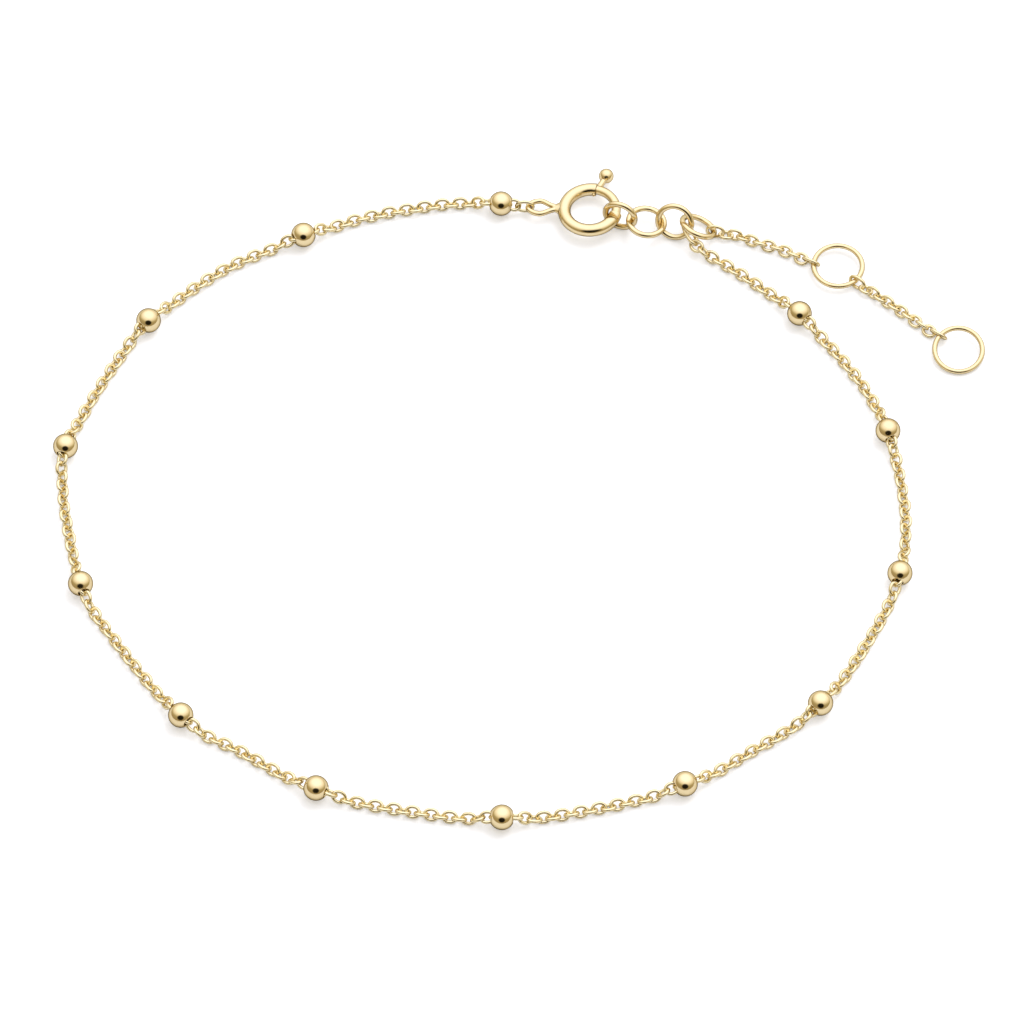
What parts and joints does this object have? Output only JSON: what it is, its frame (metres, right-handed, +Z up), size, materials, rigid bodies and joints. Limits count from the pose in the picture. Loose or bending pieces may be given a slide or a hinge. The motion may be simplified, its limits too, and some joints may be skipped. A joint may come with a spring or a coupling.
{
  "type": "station bead bracelet",
  "caption": "Fine gold cable-chain bracelet with round station beads, a spring ring clasp and a ringed extender, laid flat in an open loop.",
  "frame": {"origin": "centre of the bracelet's footprint on the surface that it lies on", "axes": "+Z up from the surface, +Y towards the clasp, +X towards the extender"},
  "size_m": [0.0712, 0.059, 0.0028],
  "materials": {
    "bead_gold": "polished yellow gold",
    "chain_gold": "polished yellow gold wire",
    "ring_gold": "polished yellow gold wire",
    "clasp_gold": "polished yellow gold with a soft gloss"
  },
  "bodies": {
    "bracelet": {"main_chain": "chain_gold", "station_bead_01": "bead_gold", "station_bead_02": "bead_gold", "station_bead_03": "bead_gold", "station_bead_04": "bead_gold", "station_bead_05": "bead_gold", "station_bead_06": "bead_gold", "station_bead_07": "bead_gold", "station_bead_08": "bead_gold", "station_bead_09": "bead_gold", "station_bead_10": "bead_gold", "station_bead_11": "bead_gold", "station_bead_12": "bead_gold", "station_bead_13": "bead_gold", "chain_end_link": "chain_gold", "chain_hook_link": "chain_gold", "clasp_body": "clasp_gold", "jump_ring_1": "ring_gold", "jump_ring_2": "ring_gold", "jump_ring_3": "ring_gold", "jump_ring_4": "ring_gold", "extender_chain_1": "chain_gold", "extender_ring_1": "ring_gold", "extender_chain_2": "chain_gold", "extender_ring_2": "ring_gold"},
    "bolt": {"clasp_bolt": "clasp_gold"}
  },
  "joints": [
    {"name": "bolt_slide", "type": "hinge", "parent": "bracelet", "child": "bolt", "pos_m": [0.00537, 0.02576, 0.00101], "axis": [-0.0558, 0.0731, 0.9958], "range_deg": [0, 50], "stiffness_Nm_per_rad": 0.002}
  ]
}
